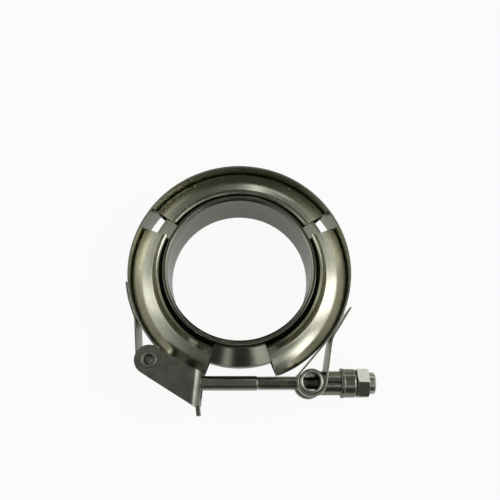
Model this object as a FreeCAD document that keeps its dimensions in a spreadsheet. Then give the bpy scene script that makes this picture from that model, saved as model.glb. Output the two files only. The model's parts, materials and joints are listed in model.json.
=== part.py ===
# Quick-release V band clamp with its pair of weld flanges.
# Millimetres. The origin is on the bore's axis, in the plane where the two flanges meet; +Z is along the bore.
# The bolt lies along X on the -Y side, with the latch at -X and the nut at +X.
import FreeCAD
import Part
import Sketcher
import math
import os

doc = FreeCAD.newDocument("VBandClamp")
sheet = doc.addObject("Spreadsheet::Sheet", "Sizes")

driving_sizes = {
    # weld flanges
    "bore_radius": 31.75,
    "neck_wall": 2.5,
    "flange_height": 12.6,
    "rim_radius": 42.3,
    "rim_thickness": 3.75,
    "cone_angle": 20.0,
    "weld_bevel": 0.9,
    "mouth_chamfer": 0.9,
    # V retainer segments
    "segment_sheet": 1.2,
    "segment_bend": 1.7,
    "bolt_relief": 0.8,
    "leg_clearance": 0.2,
    "wedge_room": 5.45,
    "lip_radius_place": 39.2,
    "lip_bend": 2.0,
    "lip_turn": 42.0,
    "lip_length": 3.4,
    "right_segment_from": -70.5,
    "right_segment_to": 26.5,
    "top_segment_from": 36.0,
    "top_segment_to": 142.0,
    "left_segment_from": 153.5,
    "left_segment_to": 251.5,
    # strap
    "weld_gap": 0.05,
    "strap_width": 19.0,
    "strap_sheet": 0.8,
    "free_end_gap": 0.12,
    "free_end_bend": 11.0,
    "right_foot_angle": -34.0,
    "right_end_radius": 300.0,
    "right_end_turn": 2.6,
    "left_foot_angle": 203.0,
    "left_tip_angle": 186.0,
    "window_margin": 0.9,
    # right loop: trunnion, collar, nut
    "eye_angle": -57.7,
    "eye_standoff": 2.51,
    "eye_radius": 5.5,
    "eye_slack": 0.2,
    "eye_half_height": 9.2,
    "trunnion_sheet": 1.7,
    "arm_radius": 5.25,
    "arm_reach": 14.3,
    "arm_slit": 0.8,
    "slit_start": 6.6,
    "collar_length": 6.8,
    "collar_radius": 6.2,
    "collar_lip_radius": 6.5,
    "collar_lip_length": 1.4,
    "collar_seat": 0.9,
    "collar_clearance": 0.04,
    "collar_round": 1.1,
    "nut_across_flats": 12.0,
    "nut_height": 5.4,
    "nut_chamfer": 0.5,
    "nut_face_gap": 0.02,
    "nut_collar_radius": 4.75,
    "nut_collar_height": 2.8,
    "nut_collar_round": 0.6,
    # bolt
    "bolt_radius": 3.175,
    "bolt_clearance": 0.2,
    "thread_clearance": 0.05,
    "thread_length": 51.7,
    "thread_chamfer": 0.25,
    "bolt_point": 0.6,
    "bolt_end_proud": 0.2,
    "head_radius": 3.2,
    "head_length": 17.0,
    "head_gap": 5.9,
    # left loop: barrel, rivet, latch
    "pin_angle": 225.91,
    "pin_standoff": 0.55,
    "barrel_radius": 5.15,
    "barrel_fit": 0.05,
    "rivet_radius": 2.95,
    "rivet_bore": 1.9,
    "rivet_clearance": 0.06,
    "rivet_fit": 0.02,
    "rivet_head_radius": 3.4,
    "rivet_head_height": 0.7,
    "rivet_head_round": 0.4,
    "latch_sheet": 1.5,
    "latch_bend": 2.2,
    "latch_lean": 5.5,
    "latch_side_gap": 0.3,
    "cheek_radius": 6.4,
    "cheek_hollow_margin": 1.7,
    "web_reach": 23.2,
    "web_bottom": 17.6,
    "web_corner": 1.6,
    "fork_half_width": 4.5,
    "fork_room": 3.6,
    "fork_corner": 0.8,
    "tab_length": 3.0,
    "tab_half_width": 4.6,
    "tab_turn": 12.0,
}

row = 1
for alias, value in driving_sizes.items():
    sheet.set("A%d" % row, alias)
    sheet.set("B%d" % row, str(value))
    sheet.setAlias("B%d" % row, alias)
    row += 1
doc.recompute()


class Size:
    """A number that knows its value now and the expression that gives it from the sheet."""

    def __init__(self, value, text):
        self.value = float(value)
        self.text = text

    def __add__(self, other):
        other = as_size(other)
        return Size(self.value + other.value, "(%s + %s)" % (self.text, other.text))

    def __sub__(self, other):
        other = as_size(other)
        return Size(self.value - other.value, "(%s - %s)" % (self.text, other.text))

    def __mul__(self, other):
        other = as_size(other)
        return Size(self.value * other.value, "(%s * %s)" % (self.text, other.text))

    def __truediv__(self, other):
        other = as_size(other)
        return Size(self.value / other.value, "(%s / %s)" % (self.text, other.text))

    def __neg__(self):
        return Size(-self.value, "(-1 * %s)" % self.text)


def as_size(number):
    if isinstance(number, Size):
        return number
    return Size(number, repr(float(number)))


def size(alias):
    return Size(getattr(sheet, alias), "Sizes." + alias)


def tangent(angle):
    return Size(math.tan(math.radians(angle.value)), "tan(%s)" % angle.text)


def sine(angle):
    return Size(math.sin(math.radians(angle.value)), "sin(%s)" % angle.text)


def cosine(angle):
    return Size(math.cos(math.radians(angle.value)), "cos(%s)" % angle.text)


def square_root(number):
    return Size(math.sqrt(number.value), "sqrt(%s)" % number.text)


zero = as_size(0)
layout = doc.addObject("App::VarSet", "Layout")


def derived(name, amount):
    """Keep a size that follows from others under its own name."""
    layout.addProperty("App::PropertyFloat", name, "Layout")
    layout.setExpression(name, amount.text)
    setattr(layout, name, amount.value)
    return Size(amount.value, "Layout." + name)


# ---- sizes that follow from the driving ones
neck_radius = derived("neck_radius", size("bore_radius") + size("neck_wall"))
web_outside = derived("web_outside", size("rim_radius") + size("wedge_room") + size("segment_sheet"))
strap_middle = derived("strap_middle", web_outside + size("weld_gap") + size("strap_sheet") / 2)
free_end_middle = derived("free_end_middle", strap_middle + size("strap_sheet") + size("free_end_gap"))
half_strap = derived("half_strap", size("strap_width") / 2)
eye_loop = derived("eye_loop", size("eye_radius") + size("eye_slack") + size("strap_sheet") / 2)
pin_loop = derived("pin_loop", size("barrel_radius") + size("barrel_fit") + size("strap_sheet") / 2)
eye_distance = derived("eye_distance", strap_middle + eye_loop + size("eye_standoff"))
eye_x = derived("eye_x", eye_distance * cosine(size("eye_angle")))
eye_y = derived("eye_y", eye_distance * sine(size("eye_angle")))
pin_distance = derived("pin_distance", strap_middle + pin_loop + size("pin_standoff"))
pin_x = derived("pin_x", pin_distance * cosine(size("pin_angle")))
pin_y = derived("pin_y", pin_distance * sine(size("pin_angle")))
window_half = derived("window_half", size("arm_radius") + size("window_margin") / 2)
arm_end = derived("arm_end", eye_x + size("arm_reach"))
collar_start = derived("collar_start", arm_end - size("collar_seat"))
collar_end = derived("collar_end", collar_start + size("collar_length"))
nut_start = derived("nut_start", collar_end + size("nut_face_gap"))
nut_end = derived("nut_end", nut_start + size("nut_height") + size("nut_collar_height"))
bolt_end = derived("bolt_end", nut_end + size("bolt_end_proud"))
bolt_hole = derived("bolt_hole", size("bolt_radius") + size("bolt_clearance"))
nut_hole = derived("nut_hole", size("bolt_radius") + size("thread_clearance"))
cheek_inside = derived("cheek_inside", half_strap + size("latch_side_gap"))
cheek_outside = derived("cheek_outside", cheek_inside + size("latch_sheet"))
web_inner = derived("web_inner", size("web_reach") - size("latch_sheet"))
# the latch's own axes are turned by its lean; the bolt's axis crosses the web's inner face here
bolt_drop = derived("bolt_drop", eye_y - pin_y)
web_at_bolt = derived(
    "web_at_bolt", (web_inner + bolt_drop * sine(size("latch_lean"))) / cosine(size("latch_lean"))
)
head_x = derived("head_x", pin_x + web_at_bolt - size("head_gap") - size("head_radius"))


# ---- helpers for parametric bodies
def origin_plane(body, role):
    for feature in body.Origin.OriginFeatures:
        if feature.Role == role:
            return feature
    raise RuntimeError("no plane " + role)


def new_body(label):
    body = doc.addObject("PartDesign::Body", label)
    body.Label = label
    return body


def new_sketch(body, name, plane):
    sketch = body.newObject("Sketcher::SketchObject", name)
    sketch.AttachmentSupport = [(origin_plane(body, plane), "")]
    sketch.MapMode = "FlatFace"
    return sketch


def hold(sketch, kind, geometry, point, amount):
    """Dimension one point of a sketch from the origin, or one radius, by an expression."""
    if kind == "Radius":
        index = sketch.addConstraint(Sketcher.Constraint("Radius", geometry, amount.value))
    else:
        index = sketch.addConstraint(Sketcher.Constraint(kind, -1, 1, geometry, point, amount.value))
    sketch.setExpression("Constraints[%d]" % index, amount.text)


def arc_centre(start, end, radius, turns_left):
    """The centre of the short arc from start to end."""
    middle_x = (start[0] + end[0]) / 2
    middle_y = (start[1] + end[1]) / 2
    chord_x = end[0] - start[0]
    chord_y = end[1] - start[1]
    chord = math.hypot(chord_x, chord_y)
    height = math.sqrt(max(radius * radius - chord * chord / 4, 0))
    side = 1 if turns_left else -1
    return (middle_x - side * height * chord_y / chord, middle_y + side * height * chord_x / chord)


def arc_between(centre, radius, first, last):
    circle = Part.Circle(FreeCAD.Vector(centre[0], centre[1], 0), FreeCAD.Vector(0, 0, 1), radius)
    from_angle = math.atan2(first[1] - centre[1], first[0] - centre[0])
    to_angle = math.atan2(last[1] - centre[1], last[0] - centre[0])
    if to_angle <= from_angle:
        to_angle += 2 * math.pi
    return Part.ArcOfCircle(circle, from_angle, to_angle)


def corner_sketch(body, name, plane, corners):
    """
    A closed outline. A corner is (x, y), or (x, y, radius, turns_left) where a short arc leads to the next corner.
    Every corner is dimensioned from the origin.
    """
    sketch = new_sketch(body, name, plane)
    count = len(corners)
    entry = []
    for i in range(count):
        start = (corners[i][0].value, corners[i][1].value)
        after = corners[(i + 1) % count]
        end = (after[0].value, after[1].value)
        if len(corners[i]) == 2:
            first = FreeCAD.Vector(start[0], start[1], 0)
            last = FreeCAD.Vector(end[0], end[1], 0)
            sketch.addGeometry(Part.LineSegment(first, last), False)
            entry.append((1, 2))
            continue
        radius = corners[i][2].value
        turns_left = corners[i][3]
        centre = arc_centre(start, end, radius, turns_left)
        if turns_left:
            sketch.addGeometry(arc_between(centre, radius, start, end), False)
            entry.append((1, 2))
        else:
            sketch.addGeometry(arc_between(centre, radius, end, start), False)
            entry.append((2, 1))
    for i in range(count):
        following = (i + 1) % count
        sketch.addConstraint(
            Sketcher.Constraint("Coincident", i, entry[i][1], following, entry[following][0])
        )
    for i, corner in enumerate(corners):
        hold(sketch, "DistanceX", i, entry[i][0], corner[0])
        hold(sketch, "DistanceY", i, entry[i][0], corner[1])
        if len(corner) == 4:
            hold(sketch, "Radius", i, 0, corner[2])
    return sketch


def pad(body, sketch, length, midplane=True):
    feature = body.newObject("PartDesign::Pad", body.Name + "_pad")
    feature.Profile = sketch
    feature.Length = length.value
    feature.setExpression("Length", length.text)
    if midplane:
        feature.SideType = "Symmetric"
    body.Tip = feature
    return feature


def cut_through(body, sketch, name):
    feature = body.newObject("PartDesign::Pocket", name)
    feature.Profile = sketch
    feature.Type = "ThroughAll"
    feature.SideType = "Symmetric"
    body.Tip = feature
    return feature


def turned(label, outline, axis, sweep=None):
    """A body turned about its own Z or X axis from an outline of (radius, place along the axis) corners."""
    body = new_body(label)
    if axis == "Z":
        sketch = corner_sketch(body, label + "_outline", "XZ_Plane", outline)
        axis_name = "V_Axis"
    else:
        swapped = [(corner[1], corner[0]) for corner in outline]
        sketch = corner_sketch(body, label + "_outline", "XY_Plane", swapped)
        axis_name = "H_Axis"
    turn = body.newObject("PartDesign::Revolution", label + "_turn")
    turn.Profile = sketch
    turn.ReferenceAxis = (sketch, [axis_name])
    turn.Angle = 360.0
    if sweep is not None:
        turn.Angle = sweep.value
        turn.setExpression("Angle", sweep.text)
    body.Tip = turn
    return body


def place(obj, x=zero, y=zero, z=zero, turn=None):
    """Put an object at x, y, z, turned about Z."""
    angle = 0 if turn is None else turn.value
    spin = FreeCAD.Rotation(FreeCAD.Vector(0, 0, 1), angle)
    obj.Placement = FreeCAD.Placement(FreeCAD.Vector(x.value, y.value, z.value), spin)
    for name, amount in (("x", x), ("y", y), ("z", z)):
        obj.setExpression("Placement.Base." + name, amount.text)
    if turn is not None:
        obj.setExpression("Placement.Rotation.Angle", turn.text)


def bind(obj, **amounts):
    for name, amount in amounts.items():
        setattr(obj, name, amount.value)
        obj.setExpression(name, amount.text)


def rod(label, radius, length, x=zero, y=zero, z=zero, along="Z"):
    """A cylinder from x, y, z along +Z or +X."""
    cylinder = doc.addObject("Part::Cylinder", label)
    bind(cylinder, Radius=radius, Height=length)
    spin = FreeCAD.Rotation()
    if along == "X":
        spin = FreeCAD.Rotation(FreeCAD.Vector(0, 1, 0), 90)
    cylinder.Placement = FreeCAD.Placement(FreeCAD.Vector(x.value, y.value, z.value), spin)
    for name, amount in (("x", x), ("y", y), ("z", z)):
        cylinder.setExpression("Placement.Base." + name, amount.text)
    return cylinder


def block(label, low, high):
    """A box between two corners."""
    box = doc.addObject("Part::Box", label)
    bind(box, Length=high[0] - low[0], Width=high[1] - low[1], Height=high[2] - low[2])
    place(box, low[0], low[1], low[2])
    return box


def joined(label, base, tool):
    fuse = doc.addObject("Part::Fuse", label)
    fuse.Base = base
    fuse.Tool = tool
    return fuse


def without(label, base, tool):
    cut = doc.addObject("Part::Cut", label)
    cut.Base = base
    cut.Tool = tool
    return cut


def shared(label, base, tool):
    common = doc.addObject("Part::Common", label)
    common.Base = base
    common.Tool = tool
    return common


nodes = []

# ---- weld flanges: flat joint face, rim, cone, neck with a weld bevel and a chamfered mouth
cone_top = derived(
    "cone_top", size("rim_thickness") + (size("rim_radius") - neck_radius) * tangent(size("cone_angle"))
)


def flange(label, side):
    outline = [
        (size("bore_radius"), zero),
        (size("rim_radius"), zero),
        (size("rim_radius"), size("rim_thickness") * side),
        (neck_radius, cone_top * side),
        (neck_radius, (size("flange_height") - size("weld_bevel")) * side),
        (neck_radius - size("weld_bevel") / 2, size("flange_height") * side),
        (size("bore_radius") + size("mouth_chamfer"), size("flange_height") * side),
        (size("bore_radius"), (size("flange_height") - size("mouth_chamfer")) * side),
    ]
    return turned(label, outline, "Z")


nodes.append(flange("flange_upper", 1))
nodes.append(flange("flange_lower", -1))


# ---- V retainers: web against the strap, two legs at the cone's angle, lips turned away from the flanges
def walk(start, heading, half, moves):
    """
    Follow the middle of a folded sheet and return the corners on its right and on its left.
    A move is (length,) straight on, or (radius, angle) for a bend, to the left where the angle is positive.
    """
    x, y = start
    right = []
    left = []

    def sides(radius=None, turns_left=None):
        across_x = sine(heading)
        across_y = -cosine(heading)
        right_corner = (x + across_x * half, y + across_y * half)
        left_corner = (x - across_x * half, y - across_y * half)
        if radius is not None:
            outer = radius + half if turns_left else radius - half
            inner = radius - half if turns_left else radius + half
            right_corner = right_corner + (outer, turns_left)
            left_corner = left_corner + (inner, turns_left)
        right.append(right_corner)
        left.append(left_corner)

    for move in moves:
        if len(move) == 1:
            sides()
            x = x + cosine(heading) * move[0]
            y = y + sine(heading) * move[0]
            continue
        radius, angle = move
        turns_left = angle.value > 0
        sides(radius, turns_left)
        side = 1 if turns_left else -1
        centre_x = x - sine(heading) * radius * side
        centre_y = y + cosine(heading) * radius * side
        heading = heading + angle
        x = centre_x + sine(heading) * radius * side
        y = centre_y - cosine(heading) * radius * side
    sides()
    return right, left


def mirrored_down(upward):
    """The corners of the lower half, in the order that goes on from the upper half's first corner downwards."""
    downward = []
    for i, corner in enumerate(upward):
        mirrored = (corner[0], -corner[1])
        if len(corner) == 4:
            mirrored = mirrored + (corner[2], not corner[3])
        downward.append(mirrored)
    return downward


def reversed_corners(corners):
    """The same run of corners the other way round: each arc moves to the corner that it then starts from."""
    backwards = []
    for i in range(len(corners) - 1, -1, -1):
        corner = corners[i][:2]
        if i > 0 and len(corners[i - 1]) == 4:
            corner = corner + (corners[i - 1][2], not corners[i - 1][3])
        backwards.append(corner)
    return backwards


half_sheet = size("segment_sheet") / 2
web_middle = derived("web_middle", web_outside - half_sheet)
leg_heading = as_size(180) - size("cone_angle")
bend_turn = as_size(90) - size("cone_angle")
bend_middle = size("segment_bend") + half_sheet
leg_offset = (size("leg_clearance") + half_sheet) / cosine(size("cone_angle"))
fold_height = derived(
    "fold_height",
    size("rim_thickness") + (size("rim_radius") - web_middle) * tangent(size("cone_angle")) + leg_offset,
)
bend_reach = bend_middle * tangent(bend_turn / 2)
web_half = derived("web_half", fold_height - bend_reach)
leg_length = derived(
    "leg_length", (web_middle - size("lip_radius_place")) / cosine(size("cone_angle")) - bend_reach
)
segment_right, segment_left = walk(
    (web_middle, zero),
    as_size(90),
    half_sheet,
    [
        (web_half,),
        (bend_middle, bend_turn),
        (leg_length,),
        (size("lip_bend"), -size("lip_turn")),
        (size("lip_length"),),
    ],
)
# corners at mid height lie on straight runs of the web and are left out
upper_outside = segment_right[1:]
upper_inside = segment_left[1:]
segment_outline = (
    reversed_corners(mirrored_down(upper_outside)) + upper_outside
    + reversed_corners(upper_inside) + mirrored_down(upper_inside)
)


def segment(label, from_angle, to_angle):
    body = turned(label, segment_outline, "Z", to_angle - from_angle)
    place(body, turn=from_angle)
    return body


# the two that end beside the bolt are relieved round it
relief_radius = size("bolt_radius") + size("bolt_relief")
for name in ("right", "left"):
    whole = segment("segment_whole_" + name, size(name + "_segment_from"), size(name + "_segment_to"))
    relief = rod("relief_" + name, relief_radius, web_outside * 2, -web_outside, eye_y, along="X")
    nodes.append(without("v_segment_" + name, whole, relief))
nodes.append(segment("v_segment_top", size("top_segment_from"), size("top_segment_to")))


# ---- strap: one folded strip; each end leaves the ring, goes round a loop and lies back on the outside of the ring
class Ring:
    """A circle that the strip's middle follows, to the left or to the right."""

    def __init__(self, x, y, radius, turns_left, foot_angle=None):
        self.x = x
        self.y = y
        self.radius = radius
        self.turns_left = turns_left
        self.foot_angle = foot_angle
        self.signed = radius.value if turns_left else -radius.value


def common_heading(first, second):
    """The heading of the straight run from one circle to the next, or where they touch."""
    across = second.x.value - first.x.value
    up = second.y.value - first.y.value
    apart = math.hypot(across, up)
    lean = max(-1.0, min(1.0, (first.signed - second.signed) / apart))
    return math.atan2(up, across) + math.asin(lean)


def side_of_strip(rings, headings, half):
    """Numbers of each arc on one side of the strip: centre, radius, which way, first and last point."""
    arcs = []
    for i, ring in enumerate(rings):
        reach = ring.signed + half
        ends = []
        for heading in (headings[i], headings[i + 1]):
            ends.append((
                ring.x.value + reach * math.sin(heading),
                ring.y.value - reach * math.cos(heading),
            ))
        arcs.append(((ring.x.value, ring.y.value), abs(reach), reach > 0, ends[0], ends[1]))
    return arcs


def straight(sketch, first, last):
    start = FreeCAD.Vector(first[0], first[1], 0)
    end = FreeCAD.Vector(last[0], last[1], 0)
    return sketch.addGeometry(Part.LineSegment(start, end), False)


def strip_sketch(body, name, rings, headings, half):
    """
    The closed outline of a strip. A circle with a foot angle touches the free end's circle at that angle.
    Returns the sketch and, for each tip, the arc, its point and where it is.
    """
    sketch = new_sketch(body, name, "XY_Plane")
    tips = []
    for side in (1, -1):
        arcs = side_of_strip(rings, headings, side * half.value)
        before = None
        for i, (centre, radius, turns_left, first, last) in enumerate(arcs):
            ends = (first, last) if turns_left else (last, first)
            arc = sketch.addGeometry(arc_between(centre, radius, ends[0], ends[1]), False)
            begin, finish = (1, 2) if turns_left else (2, 1)
            ring = rings[i]
            if ring.foot_angle is None:
                hold(sketch, "DistanceX", arc, 3, ring.x)
                hold(sketch, "DistanceY", arc, 3, ring.y)
            reach = ring.radius + half * (side if ring.turns_left else -side)
            hold(sketch, "Radius", arc, 0, reach)
            if before is None:
                tips.append((arc, begin, first))
                before = (arc, finish, last, ring, reach)
                continue
            tail_first = before[3] is rings[0]
            if tail_first or i == len(rings) - 1:
                bend, tail, tail_reach = (ring, before[3], before[4]) if tail_first else (before[3], ring, reach)
                sketch.addConstraint(Sketcher.Constraint("Tangent", before[0], before[1], arc, begin))
                foot_y = tail.y + tail_reach * sine(bend.foot_angle)
                hold(sketch, "DistanceY", before[0], before[1], foot_y)
            else:
                run = straight(sketch, before[2], first)
                sketch.addConstraint(Sketcher.Constraint("Tangent", before[0], before[1], run, 1))
                sketch.addConstraint(Sketcher.Constraint("Tangent", run, 2, arc, begin))
            before = (arc, finish, last, ring, reach)
        tips.append((before[0], before[1], before[2]))
    for near, far in ((tips[0], tips[2]), (tips[1], tips[3])):
        cap = straight(sketch, near[2], far[2])
        sketch.addConstraint(Sketcher.Constraint("Coincident", near[0], near[1], cap, 1))
        sketch.addConstraint(Sketcher.Constraint("Coincident", cap, 2, far[0], far[1]))
    return sketch, tips


def bend_ring(foot_angle):
    """The bend that takes a free end of the strap off the ring."""
    distance = free_end_middle + size("free_end_bend")
    centre_x = distance * cosine(foot_angle)
    centre_y = distance * sine(foot_angle)
    return Ring(centre_x, centre_y, size("free_end_bend"), True, foot_angle)


# the right free end leaves the ring again past its foot, on a wider circle
right_end_shift = derived("right_end_shift", size("right_end_radius") - free_end_middle)
right_end_x = derived("right_end_x", -right_end_shift * cosine(size("right_foot_angle")))
right_end_y = derived("right_end_y", -right_end_shift * sine(size("right_foot_angle")))
right_tip_angle = size("right_foot_angle") + size("right_end_turn")
strap_rings = [
    Ring(right_end_x, right_end_y, size("right_end_radius"), False),
    bend_ring(size("right_foot_angle")),
    Ring(eye_x, eye_y, eye_loop, False),
    Ring(zero, zero, strap_middle, True),
    Ring(pin_x, pin_y, pin_loop, False),
    bend_ring(size("left_foot_angle")),
    Ring(zero, zero, free_end_middle, False),
]
strap_headings = [math.radians(right_tip_angle.value - 90)]
for i in range(len(strap_rings) - 1):
    strap_headings.append(common_heading(strap_rings[i], strap_rings[i + 1]))
strap_headings.append(math.radians(size("left_tip_angle").value - 90))
half_strip = size("strap_sheet") / 2
strap = new_body("strap_band")
strap_profile, strap_tips = strip_sketch(
    strap, "strap_profile", strap_rings, strap_headings, half_strip
)
tip_places = []
for outward in (-half_strip, half_strip):
    tip_places.append(right_end_y + (size("right_end_radius") + outward) * sine(right_tip_angle))
    tip_places.append((free_end_middle + outward) * sine(size("left_tip_angle")))
for (arc, point, where), tip_y in zip(strap_tips, tip_places):
    hold(strap_profile, "DistanceY", arc, point, tip_y)
pad(strap, strap_profile, size("strap_width"))

# window in the right loop, for the trunnion's arms and the bolt
window_left = eye_x - eye_loop * 2
window_right = eye_x + eye_loop * 2
window_top = eye_y + window_half
window_bottom = eye_y - eye_loop * 2
window_outline = [
    (window_left, window_bottom),
    (window_right, window_bottom),
    (window_right, window_top),
    (window_left, window_top),
]
window_sketch = corner_sketch(strap, "window_profile", "XY_Plane", window_outline)
window = strap.newObject("PartDesign::Pocket", "window")
window.Profile = window_sketch
window.SideType = "Symmetric"
bind(window, Length=window_half * 2)
strap.Tip = window
nodes.append(strap)

# ---- hinge barrel in the left loop
barrel = turned(
    "hinge_barrel",
    [
        (size("rivet_radius") + size("rivet_clearance"), -half_strap),
        (size("barrel_radius"), -half_strap),
        (size("barrel_radius"), half_strap),
        (size("rivet_radius") + size("rivet_clearance"), half_strap),
    ],
    "Z",
)
place(barrel, pin_x, pin_y)
nodes.append(barrel)

# ---- hollow rivet through the latch's cheeks and the barrel
rivet_flat = size("rivet_head_radius") - size("rivet_head_round")
head_inside = cheek_outside + size("rivet_fit")
head_edge = head_inside + size("rivet_head_height") - size("rivet_head_round")
head_outside = head_inside + size("rivet_head_height")
rivet_outline = [
    (size("rivet_radius"), -head_inside),
    (size("rivet_radius"), head_inside),
    (size("rivet_head_radius"), head_inside),
    (size("rivet_head_radius"), head_edge, size("rivet_head_round"), True),
    (rivet_flat, head_outside),
    (size("rivet_bore"), head_outside),
    (size("rivet_bore"), -head_outside),
    (rivet_flat, -head_outside, size("rivet_head_round"), True),
    (size("rivet_head_radius"), -head_edge),
    (size("rivet_head_radius"), -head_inside),
]
rivet = turned("hinge_rivet", rivet_outline, "Z")
place(rivet, pin_x, pin_y)
nodes.append(rivet)

# ---- latch: a sheet folded to a U, cut to the side outline, with a fork for the bolt and a finger tab.
# It is drawn about its own pin; its X runs from the pin square to the web.
half_latch = size("latch_sheet") / 2
fold = size("latch_bend") + half_latch
cheek_middle = cheek_inside + half_latch
channel_right, channel_left = walk(
    (-size("cheek_radius") * 2, -cheek_middle),
    zero,
    half_latch,
    [
        (size("cheek_radius") * 2 + size("web_reach") - half_latch - fold,),
        (fold, as_size(90)),
        ((cheek_middle - fold) * 2,),
        (fold, as_size(90)),
        (size("cheek_radius") * 2 + size("web_reach") - half_latch - fold,),
    ],
)
channel = new_body("latch_channel")
channel_sketch = corner_sketch(
    channel, "channel_profile", "XZ_Plane", channel_right + reversed_corners(channel_left)
)
pad(channel, channel_sketch, (size("web_bottom") + size("cheek_radius")) * 4)

hollow_x = derived("hollow_x", pin_y * sine(size("latch_lean")) - pin_x * cosine(size("latch_lean")))
hollow_y = derived("hollow_y", -(pin_x * sine(size("latch_lean"))) - pin_y * cosine(size("latch_lean")))
hollow_radius = derived("hollow_radius", strap_middle - size("cheek_hollow_margin"))
hollow_reach = size("web_reach") - hollow_x
web_top = derived(
    "web_top",
    hollow_y - square_root(hollow_radius * hollow_radius - hollow_reach * hollow_reach),
)
corner_x = size("web_reach") - size("web_corner")
corner_y = size("web_corner") - size("web_bottom")
side_rings = [
    Ring(hollow_x, hollow_y, hollow_radius, False),
    Ring(zero, zero, size("cheek_radius"), True),
    Ring(corner_x, corner_y, size("web_corner"), True),
]


def side_outline(body):
    """Hollow upper edge about the ring, round end about the pin, straight lower edge, rounded corner, web face."""
    sketch = new_sketch(body, "side_profile", "XY_Plane")
    start = math.atan2(web_top.value - hollow_y.value, hollow_reach.value) - math.pi / 2
    headings = [start]
    headings.append(common_heading(side_rings[0], side_rings[1]))
    headings.append(common_heading(side_rings[1], side_rings[2]))
    headings.append(math.pi / 2)
    arcs = side_of_strip(side_rings, headings, 0)
    before = None
    for i, (centre, radius, turns_left, first, last) in enumerate(arcs):
        ends = (first, last) if turns_left else (last, first)
        arc = sketch.addGeometry(arc_between(centre, radius, ends[0], ends[1]), False)
        begin, finish = (1, 2) if turns_left else (2, 1)
        hold(sketch, "DistanceX", arc, 3, side_rings[i].x)
        hold(sketch, "DistanceY", arc, 3, side_rings[i].y)
        hold(sketch, "Radius", arc, 0, side_rings[i].radius)
        if before is None:
            opening = (arc, begin, first)
        else:
            run = straight(sketch, before[2], first)
            sketch.addConstraint(Sketcher.Constraint("Tangent", before[0], before[1], run, 1))
            sketch.addConstraint(Sketcher.Constraint("Tangent", run, 2, arc, begin))
        before = (arc, finish, last)
    face = straight(sketch, before[2], opening[2])
    sketch.addConstraint(Sketcher.Constraint("Tangent", before[0], before[1], face, 1))
    sketch.addConstraint(Sketcher.Constraint("Coincident", face, 2, opening[0], opening[1]))
    hold(sketch, "DistanceX", opening[0], opening[1], size("web_reach"))
    return sketch


cheek_shape = new_body("latch_side")
pad(cheek_shape, side_outline(cheek_shape), cheek_outside * 4)
folded = shared("latch_folded", channel, cheek_shape)

tab = new_body("latch_tab")
tab_start = -size("web_bottom") + size("web_corner")
tab_right, tab_left = walk(
    (size("web_reach") - half_latch, tab_start),
    as_size(-90),
    half_latch,
    [
        (size("web_corner"),),
        (fold, size("tab_turn")),
        (size("tab_length"),),
    ],
)
tab_sketch = corner_sketch(tab, "tab_profile", "XY_Plane", tab_right + reversed_corners(tab_left))
pad(tab, tab_sketch, size("tab_half_width") * 2)
tabbed = joined("latch_tabbed", folded, tab)

# the fork is open towards the ring and stops below the bolt
bolt_line_y = derived(
    "bolt_line_y", (bolt_drop + web_inner * sine(size("latch_lean"))) / cosine(size("latch_lean"))
)
fork_floor = derived("fork_floor", bolt_line_y - size("bolt_radius") - size("fork_room"))
fork_top = -fork_floor
fork = new_body("latch_fork")
fork_sketch = corner_sketch(
    fork,
    "fork_profile",
    "YZ_Plane",
    [
        (fork_floor + size("fork_corner"), size("fork_half_width"), size("fork_corner"), True),
        (fork_floor, size("fork_half_width") - size("fork_corner")),
        (fork_floor, size("fork_corner") - size("fork_half_width"), size("fork_corner"), True),
        (fork_floor + size("fork_corner"), -size("fork_half_width")),
        (fork_top, -size("fork_half_width")),
        (fork_top, size("fork_half_width")),
    ],
)
pad(fork, fork_sketch, (size("web_reach") + size("latch_sheet")), False)
forked = without("latch_forked", tabbed, fork)
pin_hole_half = cheek_outside * 2
pin_hole = rod(
    "latch_pin_hole", size("rivet_radius") + size("rivet_fit"), pin_hole_half * 2, z=-pin_hole_half
)
latch = without("latch", forked, pin_hole)
place(latch, pin_x, pin_y, turn=-size("latch_lean"))
nodes.append(latch)

# ---- T bolt: head across the latch's web, plain shank, thread with a bevelled start and a bevelled point
thread_start = bolt_end - size("thread_length")
shank = turned(
    "bolt_shank",
    [
        (zero, head_x),
        (size("bolt_radius"), head_x),
        (size("bolt_radius"), thread_start - size("thread_chamfer")),
        (size("bolt_radius") - size("thread_chamfer"), thread_start),
        (size("bolt_radius"), thread_start + size("thread_chamfer")),
        (size("bolt_radius"), bolt_end - size("bolt_point")),
        (size("bolt_radius") - size("bolt_point"), bolt_end),
        (zero, bolt_end),
    ],
    "X",
)
place(shank, y=eye_y)
head_bar = rod(
    "bolt_head", size("head_radius"), size("head_length"), head_x, eye_y, -size("head_length") / 2
)
bolt = joined("t_bolt", shank, head_bar)
nodes.append(bolt)

# ---- trunnion: sheet rolled to an eye, with two half-round arms about the bolt, split along the middle
eye_height = size("eye_half_height") * 2
eye_outer = rod("eye_outside", size("eye_radius"), eye_height, eye_x, eye_y, -size("eye_half_height"))
arm_outer = rod("arm_outside", size("arm_radius"), size("arm_reach"), eye_x, eye_y, along="X")
trunnion_solid = joined("trunnion_solid", eye_outer, arm_outer)
eye_inner = rod(
    "eye_inside",
    size("eye_radius") - size("trunnion_sheet"),
    eye_height * 2,
    eye_x,
    eye_y,
    -eye_height,
)
eye_open = without("trunnion_eye", trunnion_solid, eye_inner)
tunnel_length = size("arm_reach") + size("arm_radius") * 2
tunnel = rod("arm_inside", bolt_hole, tunnel_length * 2, eye_x - tunnel_length, eye_y, along="X")
trunnion_bored = without("trunnion_bored", eye_open, tunnel)
slit = block(
    "arm_slit_cut",
    (eye_x + size("slit_start"), eye_y - size("arm_slit") / 2, -size("arm_radius") * 2),
    (arm_end + size("arm_radius"), eye_y + size("arm_slit") / 2, size("arm_radius") * 2),
)
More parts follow.
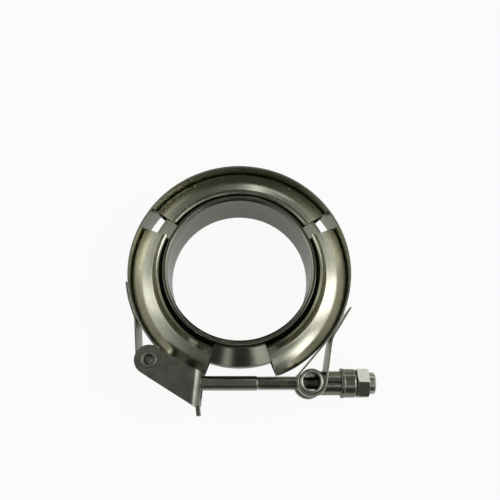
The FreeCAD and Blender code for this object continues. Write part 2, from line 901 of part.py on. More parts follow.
trunnion = without("trunnion", trunnion_bored, slit)
nodes.append(trunnion)

# ---- collar on the ends of the arms
seat_radius = size("arm_radius") + size("collar_clearance")
seat_end = arm_end + size("collar_clearance")
collar = turned(
    "trunnion_collar",
    [
        (seat_radius, collar_start),
        (size("collar_lip_radius"), collar_start),
        (size("collar_lip_radius"), collar_start + size("collar_lip_length")),
        (size("collar_radius"), collar_start + size("collar_lip_length")),
        (size("collar_radius"), collar_end - size("collar_round"), size("collar_round"), True),
        (size("collar_radius") - size("collar_round"), collar_end),
        (bolt_hole, collar_end),
        (bolt_hole, seat_end),
        (seat_radius, seat_end),
    ],
    "X",
)
place(collar, y=eye_y)
nodes.append(collar)

# ---- lock nut: bevelled hexagon with a round locking collar
hexagon = doc.addObject("Part::Prism", "nut_hexagon")
hexagon.Polygon = 6
bind(
    hexagon,
    Circumradius=size("nut_across_flats") / 2 / cosine(as_size(30)),
    Height=size("nut_height") + size("nut_collar_height"),
)
hexagon.Placement = FreeCAD.Placement(
    FreeCAD.Vector(nut_start.value, eye_y.value, 0), FreeCAD.Rotation(FreeCAD.Vector(0, 1, 0), 90)
)
hexagon.setExpression("Placement.Base.x", nut_start.text)
hexagon.setExpression("Placement.Base.y", eye_y.text)
nut_flat = size("nut_across_flats") / 2
nut_corner = nut_flat / cosine(as_size(30))
bevel_end = nut_start + size("nut_height")
nut_envelope = turned(
    "nut_envelope",
    [
        (nut_hole, nut_start),
        (nut_flat - size("nut_chamfer") / 2, nut_start),
        (nut_corner, nut_start + size("nut_chamfer")),
        (nut_corner, bevel_end - size("nut_chamfer")),
        (nut_flat - size("nut_chamfer") / 2, bevel_end),
        (size("nut_collar_radius"), bevel_end),
        (size("nut_collar_radius"), nut_end - size("nut_collar_round"), size("nut_collar_round"), True),
        (size("nut_collar_radius") - size("nut_collar_round"), nut_end),
        (nut_hole, nut_end),
    ],
    "X",
)
place(nut_envelope, y=eye_y)
nut = shared("lock_nut", hexagon, nut_envelope)
nodes.append(nut)

# ---- checks and files
doc.recompute()
for obj in doc.Objects:
    for state in obj.State:
        if state in ("Invalid", "Error"):
            raise RuntimeError("%s is %s" % (obj.Label, state))
for node in nodes:
    shape = node.Shape
    if shape.isNull() or not shape.isValid() or len(shape.Solids) != 1:
        raise RuntimeError("%s has a bad shape" % node.Label)
    print("%-18s %9.1f mm3" % (node.Label, shape.Volume))
os.makedirs("parts", exist_ok=True)
for node in nodes:
    node.Shape.exportStep(os.path.join("parts", node.Label + ".step"))
print("%d nodes written" % len(nodes))
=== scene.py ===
# Quick-release V band clamp: strap, three V retainers, two weld flanges, latch, T bolt, trunnion and nut.
import json
import math

import bmesh
import bpy
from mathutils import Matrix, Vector

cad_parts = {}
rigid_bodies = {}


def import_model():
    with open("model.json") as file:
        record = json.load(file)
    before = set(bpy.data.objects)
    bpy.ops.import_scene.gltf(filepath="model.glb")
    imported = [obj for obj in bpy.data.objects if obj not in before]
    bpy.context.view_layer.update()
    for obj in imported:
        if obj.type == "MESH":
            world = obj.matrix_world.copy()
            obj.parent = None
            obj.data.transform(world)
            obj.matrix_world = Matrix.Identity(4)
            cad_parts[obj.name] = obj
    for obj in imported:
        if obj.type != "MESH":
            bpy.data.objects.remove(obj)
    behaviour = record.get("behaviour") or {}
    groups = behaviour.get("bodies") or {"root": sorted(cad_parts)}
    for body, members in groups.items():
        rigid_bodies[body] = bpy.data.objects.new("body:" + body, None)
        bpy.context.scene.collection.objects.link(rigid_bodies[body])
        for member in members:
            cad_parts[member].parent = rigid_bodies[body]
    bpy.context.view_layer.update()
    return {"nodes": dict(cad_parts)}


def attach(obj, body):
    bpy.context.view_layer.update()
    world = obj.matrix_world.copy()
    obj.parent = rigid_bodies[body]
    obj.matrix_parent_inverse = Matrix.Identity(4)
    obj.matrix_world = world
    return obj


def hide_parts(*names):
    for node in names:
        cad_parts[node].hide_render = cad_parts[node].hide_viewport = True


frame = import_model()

nodes = frame["nodes"]
mm = 0.001
mergeDistance = 1e-6
boltAxisY = -49.034
eyeCentre = (30.998, boltAxisY)
pinCentre = (-38.651, -39.899)
print("scene: frame loaded,", len(nodes), "nodes")


# Small helpers for modelling by hand

def startFresh():
    if bpy.context.object and bpy.context.object.mode != "OBJECT":
        bpy.ops.object.mode_set(mode="OBJECT")
    bpy.ops.object.select_all(action="DESELECT")


def makeActive(piece):
    startFresh()
    piece.select_set(True)
    bpy.context.view_layer.objects.active = piece


def applyPlace(piece):
    makeActive(piece)
    bpy.ops.object.transform_apply(location=True, rotation=True, scale=True)


def addModifier(piece, kind, **values):
    makeActive(piece)
    modifier = piece.modifiers.new(kind.lower(), kind)
    for name, value in values.items():
        setattr(modifier, name, value)
    bpy.ops.object.modifier_apply(modifier=modifier.name)


def tidyNormals(piece):
    makeActive(piece)
    bpy.ops.object.mode_set(mode="EDIT")
    bpy.ops.mesh.select_all(action="SELECT")
    bpy.ops.mesh.remove_doubles(threshold=mergeDistance)
    bpy.ops.mesh.normals_make_consistent(inside=False)
    bpy.ops.object.mode_set(mode="OBJECT")


def breakEdges(piece, width, sharpAngle=50, steps=2):
    addModifier(piece, "BEVEL", width=width * mm, segments=steps, limit_method="ANGLE",
                angle_limit=math.radians(sharpAngle))


def smooth(piece, degrees=40):
    makeActive(piece)
    bpy.ops.object.shade_smooth_by_angle(angle=math.radians(degrees), keep_sharp_edges=False)
    addModifier(piece, "WEIGHTED_NORMAL", weight=60, keep_sharp=True)


def startOutline(name, points, closed=True):
    # an outline's first point is a plane shrunk to a dot, and the rest is extruded from it
    startFresh()
    bpy.ops.mesh.primitive_plane_add(size=mm, location=(0, 0, 0))
    piece = bpy.context.object
    piece.name = name
    bpy.ops.object.mode_set(mode="EDIT")
    bpy.ops.mesh.select_all(action="SELECT")
    bpy.ops.mesh.merge(type="CENTER")
    bpy.ops.transform.translate(value=points[0])
    for before, after in zip(points, points[1:]):
        step = Vector(after) - Vector(before)
        bpy.ops.mesh.extrude_region_move(TRANSFORM_OT_translate={"value": step})
    if closed:
        bpy.ops.mesh.select_all(action="SELECT")
        bpy.ops.mesh.edge_face_add()
        bpy.ops.mesh.delete(type="ONLY_FACE")
    bpy.ops.object.mode_set(mode="OBJECT")
    return piece


def spinOutline(piece, centre, axis, angle, steps):
    makeActive(piece)
    bpy.ops.object.mode_set(mode="EDIT")
    bpy.ops.mesh.select_all(action="SELECT")
    bpy.ops.mesh.spin(steps=steps, dupli=False, angle=angle, center=centre, axis=axis)
    bpy.ops.object.mode_set(mode="OBJECT")
    tidyNormals(piece)


def mirroredDown(points):
    return [(x, y, -z) for x, y, z in reversed(points) if z > 1e-9] + points


def arcPoints(centre, radius, startAngle, endAngle, count):
    points = []
    for i in range(count + 1):
        angle = math.radians(startAngle + (endAngle - startAngle) * i / count)
        points.append((centre[0] + radius * math.cos(angle), centre[1] + radius * math.sin(angle)))
    return points


def copyOfNode(node, name, bevelWidth, bevelSteps=2, sharpAngle=32):
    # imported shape, merged from its loose triangles, with its edges broken as on the real piece
    makeActive(nodes[node])
    bpy.ops.object.duplicate(linked=False)
    piece = bpy.context.object
    piece.name = name
    bpy.ops.object.parent_clear(type="CLEAR_KEEP_TRANSFORM")
    bpy.ops.object.transform_apply(location=True, rotation=True, scale=True)
    bpy.ops.object.mode_set(mode="EDIT")
    bpy.ops.mesh.select_all(action="SELECT")
    bpy.ops.mesh.remove_doubles(threshold=2e-6)
    bpy.ops.mesh.dissolve_limited(angle_limit=math.radians(1))
    bpy.ops.object.mode_set(mode="OBJECT")
    addModifier(piece, "BEVEL", width=bevelWidth * mm, segments=bevelSteps, limit_method="ANGLE",
                angle_limit=math.radians(sharpAngle), miter_outer="MITER_ARC", harden_normals=False)
    smooth(piece, sharpAngle)
    return piece


# Finishes

def cornerMath(tree, operation, first, second=None):
    node = tree.nodes.new("ShaderNodeMath")
    node.operation = operation
    for socket, value in zip(node.inputs, (first, second)):
        if value is None:
            continue
        if isinstance(value, (int, float)):
            socket.default_value = value
        else:
            tree.links.new(value, socket)
    return node.outputs[0]


# how often the grain repeats: per metre, and per radian where it follows the turn about the axis
grainScales = {"turned": (9000, 9000, 1.6), "rolled": (7000, 900, 7.0), "tumbled": (1500, 1500, 1500)}

steelBase = {
    "grainDetail": 4.0, "grainRoughness": 0.6, "cloudScale": 160.0, "cloudDetail": 5.0, "cloudRoughness": 0.65,
    "darkAt": 0.3, "paleAt": 0.7, "paleShare": 0.25, "bumpStrength": 0.35,
}


def addNoise(tree, place, scale, detail, roughness):
    noise = tree.nodes.new("ShaderNodeTexNoise")
    noise.inputs["Scale"].default_value = scale
    noise.inputs["Detail"].default_value = detail
    noise.inputs["Roughness"].default_value = roughness
    tree.links.new(place.outputs["Vector"], noise.inputs["Vector"])
    return noise.outputs["Fac"]


def grainPlace(tree, grain, x, y, z):
    if grain == "tumbled":
        sources = (x, y, z)
    else:
        squares = [cornerMath(tree, "MULTIPLY", value, value) for value in (x, y)]
        radius = cornerMath(tree, "SQRT", cornerMath(tree, "ADD", *squares))
        turn = cornerMath(tree, "ABSOLUTE", cornerMath(tree, "ARCTAN2", y, x))
        sources = (radius, z, turn) if grain == "turned" else (z, radius, turn)
    place = tree.nodes.new("ShaderNodeCombineXYZ")
    for socket, source, scale in zip(place.inputs, sources, grainScales[grain]):
        tree.links.new(cornerMath(tree, "MULTIPLY", source, scale), socket)
    return place


def steelFinish(name, colour, roughness, grain, centre=(0, 0, 0), axis="Z", spread=0.08, streak=0.5,
                bumpDepth=0.02, stain=0.25):
    # stainless steel: grain runs round the axis ("turned"), along the sheet ("rolled") or nowhere ("tumbled")
    s = steelBase
    material = bpy.data.materials.new(name)
    material.use_nodes = True
    tree = material.node_tree
    links = tree.links
    shader = tree.nodes["Principled BSDF"]
    shader.inputs["Metallic"].default_value = 1.0
    place = tree.nodes.new("ShaderNodeTexCoord")
    mapping = tree.nodes.new("ShaderNodeMapping")
    mapping.inputs["Location"].default_value = [-value for value in centre]
    links.new(place.outputs["Object"], mapping.inputs["Vector"])
    split = tree.nodes.new("ShaderNodeSeparateXYZ")
    links.new(mapping.outputs["Vector"], split.inputs["Vector"])
    x, y, z = split.outputs
    if axis == "X":
        x, y, z = y, z, x
    lines = addNoise(tree, grainPlace(tree, grain, x, y, z), 1.0, s["grainDetail"], s["grainRoughness"])
    cloud = addNoise(tree, mapping, s["cloudScale"], s["cloudDetail"], s["cloudRoughness"])
    tint = tree.nodes.new("ShaderNodeValToRGB")
    dark, pale = tint.color_ramp.elements
    dark.position = s["darkAt"]
    dark.color = [value * (1 - stain) for value in colour] + [1]
    pale.position = s["paleAt"]
    pale.color = [min(1, value * (1 + stain * s["paleShare"])) for value in colour] + [1]
    mixed = cornerMath(tree, "ADD", cornerMath(tree, "MULTIPLY", cloud, 1 - streak),
                       cornerMath(tree, "MULTIPLY", lines, streak))
    links.new(mixed, tint.inputs["Fac"])
    links.new(tint.outputs["Color"], shader.inputs["Base Color"])
    rough = cornerMath(tree, "ADD", cornerMath(tree, "MULTIPLY", lines, spread * 2),
                       cornerMath(tree, "MULTIPLY", cloud, spread))
    links.new(cornerMath(tree, "ADD", rough, roughness - spread * 1.5), shader.inputs["Roughness"])
    bump = tree.nodes.new("ShaderNodeBump")
    bump.inputs["Strength"].default_value = s["bumpStrength"]
    bump.inputs["Distance"].default_value = bumpDepth * mm
    links.new(lines, bump.inputs["Height"])
    links.new(bump.outputs["Normal"], shader.inputs["Normal"])
    return material


def dress(piece, body, replaced, material):
    piece.data.materials.clear()
    piece.data.materials.append(material)
    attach(piece, body)
    if replaced:
        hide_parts(*replaced)
    return piece


finishes = {
    "turnedFlange": steelFinish("turned flange steel", (0.29, 0.295, 0.235), 0.10, "turned", spread=0.04,
                                streak=0.75),
    "pressedSheet": steelFinish("pressed retainer steel", (0.50, 0.50, 0.40), 0.23, "rolled", streak=0.45,
                                bumpDepth=0.008),
    "strapSheet": steelFinish("strap steel", (0.62, 0.62, 0.51), 0.22, "rolled", streak=0.6, bumpDepth=0.006),
    "tumbledSheet": steelFinish("latch steel", (0.30, 0.305, 0.245), 0.30, "tumbled", streak=0.3, stain=0.45),
    "boltSteel": steelFinish("bolt steel", (0.38, 0.385, 0.315), 0.24, "turned", axis="X",
                             centre=(0, boltAxisY * mm, 0)),
    "nutSteel": steelFinish("nut steel", (0.55, 0.55, 0.48), 0.22, "tumbled", streak=0.4, stain=0.12),
    "rivetSteel": steelFinish("rivet steel", (0.30, 0.305, 0.25), 0.36, "tumbled", streak=0.4, stain=0.35),
    "collarSteel": steelFinish("collar steel", (0.28, 0.285, 0.23), 0.25, "turned", axis="X",
                               centre=(0, boltAxisY * mm, 0)),
}
print("scene: finishes made")


# Weld flanges

flangeSizes = {
    "boreRadius": 31.75, "neckRadius": 34.25, "rimRadius": 42.3, "rimThickness": 3.75, "height": 12.6,
    "coneTop": 6.68, "mouth": 0.9, "weldBevel": 0.9, "edge": 0.16, "steps": 160,
}


def buildFlange(name, side):
    s = flangeSizes
    outline = [
        (s["boreRadius"], 0), (s["rimRadius"], 0), (s["rimRadius"], s["rimThickness"]),
        (s["neckRadius"] + 0.5, s["coneTop"] - 0.18), (s["neckRadius"] + 0.15, s["coneTop"] + 0.1),
        (s["neckRadius"], s["coneTop"] + 0.5), (s["neckRadius"], s["height"] - s["weldBevel"]),
        (s["neckRadius"] - s["weldBevel"] / 2, s["height"]), (s["boreRadius"] + s["mouth"], s["height"]),
        (s["boreRadius"], s["height"] - s["mouth"]),
    ]
    points = [(r * mm, 0, z * side * mm) for r, z in outline]
    piece = startOutline(name, points)
    spinOutline(piece, (0, 0, 0), (0, 0, 1), math.tau, s["steps"])
    breakEdges(piece, s["edge"], sharpAngle=30)
    smooth(piece, 28)
    return piece


for name, node, side in (("flangeTop", "flange_upper", 1), ("flangeBottom", "flange_lower", -1)):
    dress(buildFlange(name, side), "clamp", [node], finishes["turnedFlange"])
print("scene: flanges made")


# V retainers

segmentSizes = {
    "webMiddle": 48.35, "foldHeight": 2.399, "bendMiddle": 2.3, "coneAngle": 20.0, "legLength": 8.127,
    "lipBend": 2.0, "lipTurn": 42.0, "lipLength": 3.4, "legBulge": 0.3, "sheet": 1.2, "stepAngle": 2.0,
    "bulgeShares": (0.15, 0.3, 0.45, 0.6, 0.75, 0.88),
    "spans": {"right": (-70.5, 26.5), "top": (36.0, 142.0), "left": (153.5, 251.5)},
    "reliefRadius": 3.975, "reliefLength": 100.0, "edge": 0.18,
}


def segmentSection():
    # the middle of the sheet in the upper half, from the web's middle to the lip's edge
    s = segmentSizes
    turn = 90 - s["coneAngle"]
    webHalf = s["foldHeight"] - s["bendMiddle"] * math.tan(math.radians(turn / 2))
    centre = (s["webMiddle"] - s["bendMiddle"], webHalf)
    points = [(s["webMiddle"], 0)]
    points += arcPoints(centre, s["bendMiddle"], 0, turn, 8)
    heading = math.radians(180 - s["coneAngle"])
    end = points[-1]
    legEnd = (end[0] + s["legLength"] * math.cos(heading), end[1] + s["legLength"] * math.sin(heading))
    for share in s["bulgeShares"]:
        lift = s["legBulge"] * 4 * share * (1 - share)
        points.append((end[0] + (legEnd[0] - end[0]) * share + lift * math.sin(heading),
                       end[1] + (legEnd[1] - end[1]) * share - lift * math.cos(heading)))
    lipCentre = (legEnd[0] + s["lipBend"] * math.sin(heading), legEnd[1] - s["lipBend"] * math.cos(heading))
    first = math.degrees(heading) + 90
    points += arcPoints(lipCentre, s["lipBend"], first, first - s["lipTurn"], 6)
    lipHeading = heading - math.radians(s["lipTurn"])
    end = points[-1]
    points.append((end[0] + s["lipLength"] * math.cos(lipHeading), end[1] + s["lipLength"] * math.sin(lipHeading)))
    upper = [(r * mm, 0, z * mm) for r, z in points]
    return mirroredDown(upper)


def relieveForBolt(piece):
    # the two retainers that end beside the bolt are cut away round it
    s = segmentSizes
    startFresh()
    bpy.ops.mesh.primitive_cylinder_add(vertices=64, radius=s["reliefRadius"] * mm,
                                        depth=s["reliefLength"] * mm, location=(0, boltAxisY * mm, 0),
                                        rotation=(0, math.radians(90), 0))
    cutter = bpy.context.object
    addModifier(piece, "BOOLEAN", operation="DIFFERENCE", object=cutter, solver="EXACT")
    bpy.data.objects.remove(cutter)


def buildSegment(name, span):
    s = segmentSizes
    start, end = (math.radians(value) for value in span)
    section = segmentSection()
    points = [(x * math.cos(start), x * math.sin(start), z) for x, y, z in section]
    piece = startOutline(name, points, closed=False)
    steps = round((span[1] - span[0]) / s["stepAngle"])
    spinOutline(piece, (0, 0, 0), (0, 0, -1), end - start, steps)
    addModifier(piece, "SOLIDIFY", thickness=s["sheet"] * mm, offset=0, use_even_offset=True)
    tidyNormals(piece)
    if name != "retainer_top":
        relieveForBolt(piece)
    breakEdges(piece, s["edge"])
    smooth(piece)
    return piece


for key, span in segmentSizes["spans"].items():
    dress(buildSegment("retainer_" + key, span), "clamp", ["v_segment_" + key],
          finishes["pressedSheet"])
print("scene: retainers made")


# Strap

strapSizes = {
    "middle": 49.4, "freeEnd": 50.32, "freeEndBend": 11.0, "sheet": 0.8, "width": 19.0, "windowHalf": 5.7,
    "eyeLoop": 6.1, "pinLoop": 5.6, "edge": 0.12, "windowSide": 20.0,
    "rightFoot": -34.0, "rightEndRadius": 300.0, "rightEndTurn": 2.6, "leftFoot": 203.0, "leftTip": 186.0,
    "loopStep": 9.0, "ringStep": 3.0, "endStep": 0.4, "shortestStep": 0.02,
}


def runHeading(first, second):
    # heading of the straight run between two circles; a circle is (x, y, radius), negative where it turns right
    across, up = second[0] - first[0], second[1] - first[1]
    lean = max(-1, min(1, (first[2] - second[2]) / math.hypot(across, up)))
    return math.atan2(up, across) + math.asin(lean)


def strapPath():
    s = strapSizes
    far = s["freeEnd"] + s["freeEndBend"]
    bends = []
    for foot in (s["rightFoot"], s["leftFoot"]):
        angle = math.radians(foot)
        bends.append((far * math.cos(angle), far * math.sin(angle), s["freeEndBend"]))
    shift = s["rightEndRadius"] - s["freeEnd"]
    foot = math.radians(s["rightFoot"])
    rightEnd = (-shift * math.cos(foot), -shift * math.sin(foot), -s["rightEndRadius"])
    circles = [rightEnd, bends[0], eyeCentre + (-s["eyeLoop"],), (0, 0, s["middle"]),
               pinCentre + (-s["pinLoop"],), bends[1], (0, 0, -s["freeEnd"])]
    headings = [math.radians(s["rightFoot"] + s["rightEndTurn"] - 90)]
    headings += [runHeading(a, b) for a, b in zip(circles, circles[1:])]
    headings.append(math.radians(s["leftTip"] - 90))
    points = []
    for (x, y, radius), start, end in zip(circles, headings, headings[1:]):
        turn = end - start
        turn = turn % math.tau if radius > 0 else -((-turn) % math.tau)
        stepAngle = s["endStep"]
        if abs(radius) < s["freeEndBend"] + 1:
            stepAngle = s["loopStep"]
        elif abs(radius) < s["rightEndRadius"]:
            stepAngle = s["ringStep"]
        count = max(2, math.ceil(abs(math.degrees(turn)) / stepAngle))
        for i in range(count + 1):
            heading = start + turn * i / count
            point = (x + radius * math.sin(heading), y - radius * math.cos(heading))
            if not points or math.dist(point, points[-1]) > s["shortestStep"]:
                points.append(point)
    return points


def buildStrap():
    s = strapSizes
    half = s["width"] / 2
    points = [(x * mm, y * mm, -half * mm) for x, y in strapPath()]
    piece = startOutline("strap", points, closed=False)
    makeActive(piece)
    bpy.ops.object.mode_set(mode="EDIT")
    bpy.ops.mesh.select_all(action="SELECT")
    for step in (half - s["windowHalf"], 2 * s["windowHalf"], half - s["windowHalf"]):
        bpy.ops.mesh.extrude_region_move(TRANSFORM_OT_translate={"value": (0, 0, step * mm)})
    windowTop = boltAxisY + s["windowHalf"]
    bpy.ops.mesh.select_all(action="SELECT")
    bpy.ops.mesh.bisect(plane_co=(0, windowTop * mm, 0), plane_no=(0, 1, 0))
    bpy.ops.mesh.select_all(action="DESELECT")
    mesh = bmesh.from_edit_mesh(piece.data)
    for face in mesh.faces:
        middle = face.calc_center_median() / mm
        if middle.x > s["windowSide"] and middle.y < windowTop and abs(middle.z) < s["windowHalf"]:
            face.select_set(True)
    bmesh.update_edit_mesh(piece.data)
    bpy.ops.mesh.delete(type="FACE")
    bpy.ops.object.mode_set(mode="OBJECT")
    addModifier(piece, "SOLIDIFY", thickness=s["sheet"] * mm, offset=0, use_even_offset=True)
    tidyNormals(piece)
    breakEdges(piece, s["edge"])
    smooth(piece)
    return piece


dress(buildStrap(), "clamp", ["strap_band"], finishes["strapSheet"])
print("scene: strap made")


# Hinge: barrel and hollow rivet

hingeSizes = {
    "rivetRadius": 2.95, "rivetBore": 1.9, "headRadius": 3.4, "headRound": 0.4,
    "headStart": 11.32, "headHeight": 0.7, "barrelRadius": 5.15, "barrelHalf": 9.5, "barrelGap": 0.06, "steps": 48,
}


def buildHinge():
    s = hingeSizes
    edge = s["headRadius"] - s["headRound"]
    top = s["headStart"] + s["headHeight"]
    upper = [(s["rivetRadius"], s["headStart"]), (s["headRadius"], s["headStart"])]
    upper += arcPoints((edge, top - s["headRound"]), s["headRound"], 0, 90, 3)
    upper += [(s["rivetBore"] + 0.5, top), (s["rivetBore"] + 0.1, top - 0.35), (s["rivetBore"], top - 0.9)]
    outline = upper + [(r, -z) for r, z in reversed(upper)]
    rivet = startOutline("rivet", [(r * mm, 0, z * mm) for r, z in outline])
    spinOutline(rivet, (0, 0, 0), (0, 0, 1), math.tau, s["steps"])
    smooth(rivet)
    inner = s["rivetRadius"] + s["barrelGap"]
    sides = [(inner, -s["barrelHalf"]), (s["barrelRadius"], -s["barrelHalf"]),
             (s["barrelRadius"], s["barrelHalf"]), (inner, s["barrelHalf"])]
    barrel = startOutline("hingeTube", [(r * mm, 0, z * mm) for r, z in sides])
    spinOutline(barrel, (0, 0, 0), (0, 0, 1), math.tau, s["steps"])
    smooth(barrel)
    for piece in (rivet, barrel):
        piece.location = (pinCentre[0] * mm, pinCentre[1] * mm, 0)
        applyPlace(piece)
    return rivet, barrel


rivet, hingeTube = buildHinge()
dress(rivet, "latch", ["hinge_rivet"], finishes["rivetSteel"])
dress(hingeTube, "clamp", ["hinge_barrel"], finishes["strapSheet"])
print("scene: hinge made")


# Latch, trunnion, nut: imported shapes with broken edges

dress(copyOfNode("latch", "latchFork", 0.3, 3), "latch", ["latch"], finishes["tumbledSheet"])
dress(copyOfNode("trunnion", "trunnionSleeve", 0.12), "trunnion", ["trunnion"],
      finishes["collarSteel"])
dress(copyOfNode("lock_nut", "hexNut", 0.12), "nut", ["lock_nut"], finishes["nutSteel"])
print("scene: latch, trunnion and nut made")


# Rolled rims on the ends of the trunnion's eye, in the paler nut finish: a painted highlight ringing the eye

eyeRimSizes = {"middle": 4.35, "half": 0.5, "height": 0.26, "face": 9.19, "steps": 64}


def buildEyeRim(name, side):
    s = eyeRimSizes
    profile = [(s["middle"] + s["half"] * math.cos(math.radians(a)),
                s["face"] + s["height"] * math.sin(math.radians(a))) for a in range(0, 181, 20)]
    rim = startOutline(name, [(r * mm, 0, z * side * mm) for r, z in profile])
    spinOutline(rim, (0, 0, 0), (0, 0, 1), math.tau, s["steps"])
    rim.location = (eyeCentre[0] * mm, eyeCentre[1] * mm, 0)
    applyPlace(rim)
    smooth(rim, 50)
    return rim


for name, side in (("eyeRimTop", 1), ("eyeRimBottom", -1)):
    # the rims take the pale nut finish rather than the sleeve's darker collar finish, so the eye's ends carry a
    # painted highlight
    dress(buildEyeRim(name, side), "trunnion", [], finishes["nutSteel"])
print("scene: eye rims made")


# Spot weld marks beside the fold of the top retainer

weldMarkSizes = {"angles": (60, 117), "radius": 46.9, "height": 3.95, "size": 0.85, "rise": 0.28, "tilt": 20}


def buildWeldMark(index, angle):
    s = weldMarkSizes
    turn = math.radians(angle)
    startFresh()
    bpy.ops.mesh.primitive_uv_sphere_add(segments=24, ring_count=12, radius=1)
    mark = bpy.context.object
    mark.name = "weldMark" + str(index)
    mark.scale = (s["size"] * mm, s["size"] * mm, s["rise"] * mm)
    mark.rotation_euler = (0, math.radians(s["tilt"]), turn)
    mark.location = (s["radius"] * math.cos(turn) * mm, s["radius"] * math.sin(turn) * mm, s["height"] * mm)
    applyPlace(mark)
    smooth(mark, 60)
    return mark


for index, angle in enumerate(weldMarkSizes["angles"]):
    dress(buildWeldMark(index, angle), "clamp", [], finishes["tumbledSheet"])
print("scene: weld marks made")


# Collar on the trunnion's arms

collarSizes = {
    "start": 44.398, "end": 51.198, "lipRadius": 6.5, "lipLength": 1.4, "radius": 6.2, "round": 1.3,
    "seatRadius": 5.29, "seatDepth": 0.94, "bore": 3.375, "lipRound": 0.3, "steps": 72,
}


def buildCollar():
    s = collarSizes
    lipEnd = s["start"] + s["lipLength"]
    lipEdge = s["lipRadius"] - s["lipRound"]
    outline = [(s["seatRadius"], s["start"]), (lipEdge, s["start"])]
    outline += arcPoints((lipEdge, s["start"] + s["lipRound"]), s["lipRound"], -90, 0, 3)[1:]
    outline += [(s["lipRadius"], lipEnd - 0.35), (s["radius"] + 0.05, lipEnd), (s["radius"], lipEnd + 0.25)]
    outline += arcPoints((s["radius"] - s["round"], s["end"] - s["round"]), s["round"], 0, 90, 6)
    outline += [(s["bore"], s["end"]), (s["bore"], s["start"] + s["seatDepth"]),
                (s["seatRadius"], s["start"] + s["seatDepth"])]
    piece = startOutline("collar", [(x * mm, r * mm, 0) for r, x in outline])
    spinOutline(piece, (0, 0, 0), (1, 0, 0), math.tau, s["steps"])
    piece.location = (0, boltAxisY * mm, 0)
    applyPlace(piece)
    smooth(piece, 30)
    return piece


dress(buildCollar(), "trunnion", ["trunnion_collar"], finishes["collarSteel"])
print("scene: collar made")


# T bolt: head bar, shank, rolled thread

boltSizes = {
    "radius": 3.175, "rootRadius": 2.62, "pitch": 0.907, "threadStart": 7.94, "end": 59.618, "point": 0.6,
    "headX": -26.83, "headRadius": 3.2, "headHalf": 8.5, "headEdge": 0.5, "steps": 48, "threadSteps": 32,
}


def buildBolt():
    s = boltSizes
    r = s["radius"]
    outline = [(0, s["headX"]), (r, s["headX"]), (r, s["threadStart"] - 0.5),
               (r - 0.35, s["threadStart"]), (s["rootRadius"], s["threadStart"] + 0.3), (0, s["threadStart"] + 0.3)]
    shank = startOutline("boltShank", [(x * mm, y * mm, 0) for y, x in outline], closed=False)
    spinOutline(shank, (0, 0, 0), (1, 0, 0), math.tau, s["steps"])

    # one pitch of the thread, turned and carried along the axis; it is drawn along Z and laid along X
    pitch = s["pitch"]
    ridge = [(s["rootRadius"], 0), (s["rootRadius"], pitch * 0.12), (r, pitch * 0.5 - pitch * 0.07),
             (r, pitch * 0.5 + pitch * 0.07), (s["rootRadius"], pitch * 0.88), (s["rootRadius"], pitch)]
    thread = startOutline("boltThread", [(y * mm, 0, x * mm) for y, x in ridge], closed=False)
    length = s["end"] - s["point"] - s["threadStart"]
    turns = int(length / pitch) - 1
    addModifier(thread, "SCREW", screw_offset=pitch * mm, steps=s["threadSteps"],
                render_steps=s["threadSteps"], iterations=turns, axis="Z", use_merge_vertices=True,
                merge_threshold=mergeDistance, use_normal_calculate=True)
    thread.rotation_euler = (0, math.radians(90), 0)
    thread.location = (s["threadStart"] * mm, 0, 0)
    applyPlace(thread)

    core = [(s["rootRadius"] - 0.02, s["threadStart"]), (s["rootRadius"] - 0.02, s["end"] - 0.55),
            (s["rootRadius"] - 0.25, s["end"] - 0.12), (s["rootRadius"] - 0.5, s["end"]), (0, s["end"])]
    point = startOutline("boltPoint", [(x * mm, y * mm, 0) for y, x in core], closed=False)
    spinOutline(point, (0, 0, 0), (1, 0, 0), math.tau, s["steps"])

    startFresh()
    bpy.ops.mesh.primitive_cylinder_add(vertices=40, radius=s["headRadius"] * mm, depth=2 * s["headHalf"] * mm,
                                        location=(s["headX"] * mm, 0, 0))
    head = bpy.context.object
    head.name = "boltHead"
    applyPlace(head)
    breakEdges(head, s["headEdge"], steps=3)
    parts = [shank, thread, point, head]
    for part in parts:
        part.location = (0, boltAxisY * mm, 0)
        applyPlace(part)
        smooth(part, 25 if part is thread else 40)
    return parts


for index, part in enumerate(buildBolt()):
    dress(part, "bolt", ["t_bolt"] if index == 0 else [], finishes["boltSteel"])
print("scene: bolt made")


# Floor, light, camera

studio = {
    "floorZ": -12.6, "floorSize": 3.0, "floorColour": (0.75, 0.75, 0.75, 1), "floorRoughness": 0.8,
    "floorWhite": 0.93, "mirroredWhite": 0.25,
    "cameraPlace": (0, -72.6, 291.0), "lens": 47.1, "sensor": 36, "shift": (0.0214, 0.0504), "nearest": 10.0,
    "surround": [(0.30, 0.17), (0.72, 0.95)], "frontShade": (-0.6, -0.15, 0.35, 1.0),
    "lamps": [
        {"name": "leftPanel", "place": (-360, 20, 370), "size": (120, 320), "power": 0.14},
        {"name": "rightPanel", "place": (350, 20, 380), "size": (160, 320), "power": 0.40},
        {"name": "rightFront", "place": (265, -200, 350), "size": (120, 120), "power": 0.16},
        {"name": "leftWindow", "place": (-58, -300, 405), "size": (30, 120), "power": 0.010},
        {"name": "rightWindow", "place": (110, -300, 405), "size": (80, 120), "power": 0.032},
        {"name": "backStrip", "place": (60, 420, 300), "size": (40, 200), "power": 0.06},
        {"name": "backWindow", "place": (137, 351, 194), "size": (60, 60), "power": 0.024},
    ],
}


def pointAt(thing, target):
    thing.rotation_euler = (Vector(target) - thing.location).to_track_quat("-Z", "Y").to_euler()


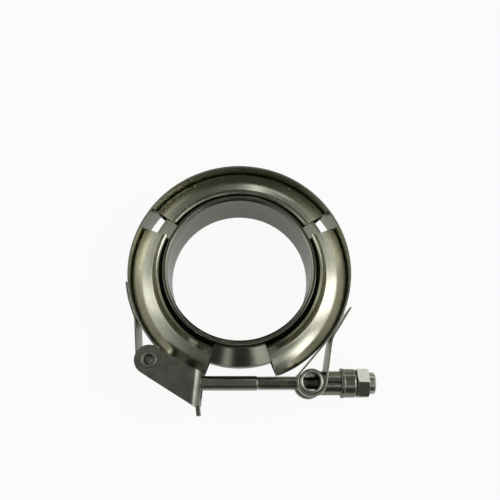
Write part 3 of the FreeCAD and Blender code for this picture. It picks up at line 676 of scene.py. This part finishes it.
def buildStudio():
    s = studio
    startFresh()
    bpy.ops.mesh.primitive_plane_add(size=s["floorSize"], location=(0, 0, s["floorZ"] * mm))
    floor = bpy.context.object
    floor.name = "floor"
    applyPlace(floor)
    material = bpy.data.materials.new("pale floor")
    material.use_nodes = True
    tree = material.node_tree
    shader = tree.nodes["Principled BSDF"]
    shader.inputs["Base Color"].default_value = s["floorColour"]
    shader.inputs["Roughness"].default_value = s["floorRoughness"]
    glow = tree.nodes.new("ShaderNodeEmission")
    glow.inputs["Strength"].default_value = 1.0
    path = tree.nodes.new("ShaderNodeLightPath")
    mirrored = cornerMath(tree, "MAXIMUM", path.outputs["Is Glossy Ray"], path.outputs["Is Transmission Ray"])
    seen = cornerMath(tree, "MAXIMUM", path.outputs["Is Camera Ray"],
                      cornerMath(tree, "MULTIPLY", mirrored, s["mirroredWhite"]))
    blend = tree.nodes.new("ShaderNodeMixShader")
    tree.links.new(cornerMath(tree, "MULTIPLY", seen, s["floorWhite"]), blend.inputs["Fac"])
    tree.links.new(shader.outputs[0], blend.inputs[1])
    tree.links.new(glow.outputs[0], blend.inputs[2])
    tree.links.new(blend.outputs[0], tree.nodes["Material Output"].inputs["Surface"])
    floor.data.materials.append(material)

    world = bpy.data.worlds.new("studio")
    bpy.context.scene.world = world
    world.use_nodes = True
    sky = world.node_tree
    background = sky.nodes["Background"]
    # soft surround: pale to the left and right, darker overhead and behind
    direction = sky.nodes.new("ShaderNodeTexCoord")
    parts = sky.nodes.new("ShaderNodeSeparateXYZ")
    sky.links.new(direction.outputs["Generated"], parts.inputs["Vector"])
    sideways = cornerMath(sky, "ABSOLUTE", parts.outputs["X"])
    surround = sky.nodes.new("ShaderNodeValToRGB")
    surround.color_ramp.interpolation = "EASE"
    for element, (position, level) in zip(surround.color_ramp.elements, s["surround"]):
        element.position = position
        element.color = (level, level, level, 1)
    sky.links.new(sideways, surround.inputs["Fac"])
    sky.links.new(surround.outputs["Color"], background.inputs["Color"])
    shade = sky.nodes.new("ShaderNodeMapRange")
    for name, value in zip(("From Min", "From Max", "To Min", "To Max"), s["frontShade"]):
        shade.inputs[name].default_value = value
    sky.links.new(parts.outputs["Y"], shade.inputs["Value"])
    sky.links.new(shade.outputs["Result"], background.inputs["Strength"])
    white = sky.nodes.new("ShaderNodeBackground")
    white.inputs["Color"].default_value = (1, 1, 1, 1)
    path = sky.nodes.new("ShaderNodeLightPath")
    blend = sky.nodes.new("ShaderNodeMixShader")
    sky.links.new(path.outputs["Is Camera Ray"], blend.inputs["Fac"])
    sky.links.new(background.outputs[0], blend.inputs[1])
    sky.links.new(white.outputs[0], blend.inputs[2])
    sky.links.new(blend.outputs[0], sky.nodes["World Output"].inputs["Surface"])

    for lamp in s["lamps"]:
        bpy.ops.object.light_add(type="AREA", location=[value * mm for value in lamp["place"]])
        light = bpy.context.object
        light.name = lamp["name"]
        light.data.shape = "RECTANGLE"
        light.data.size = lamp["size"][0] * mm
        light.data.size_y = lamp["size"][1] * mm
        light.data.energy = lamp["power"]
        pointAt(light, (0, 0, 0))

    bpy.ops.object.camera_add(location=[value * mm for value in s["cameraPlace"]])
    camera = bpy.context.object
    pointAt(camera, (0, 0, 0))
    camera.data.lens = s["lens"]
    camera.data.sensor_width = s["sensor"]
    camera.data.shift_x, camera.data.shift_y = s["shift"]
    camera.data.clip_start = s["nearest"] * mm
    bpy.context.scene.camera = camera
    bpy.context.scene.view_settings.view_transform = "Standard"


buildStudio()
print("scene: studio made")
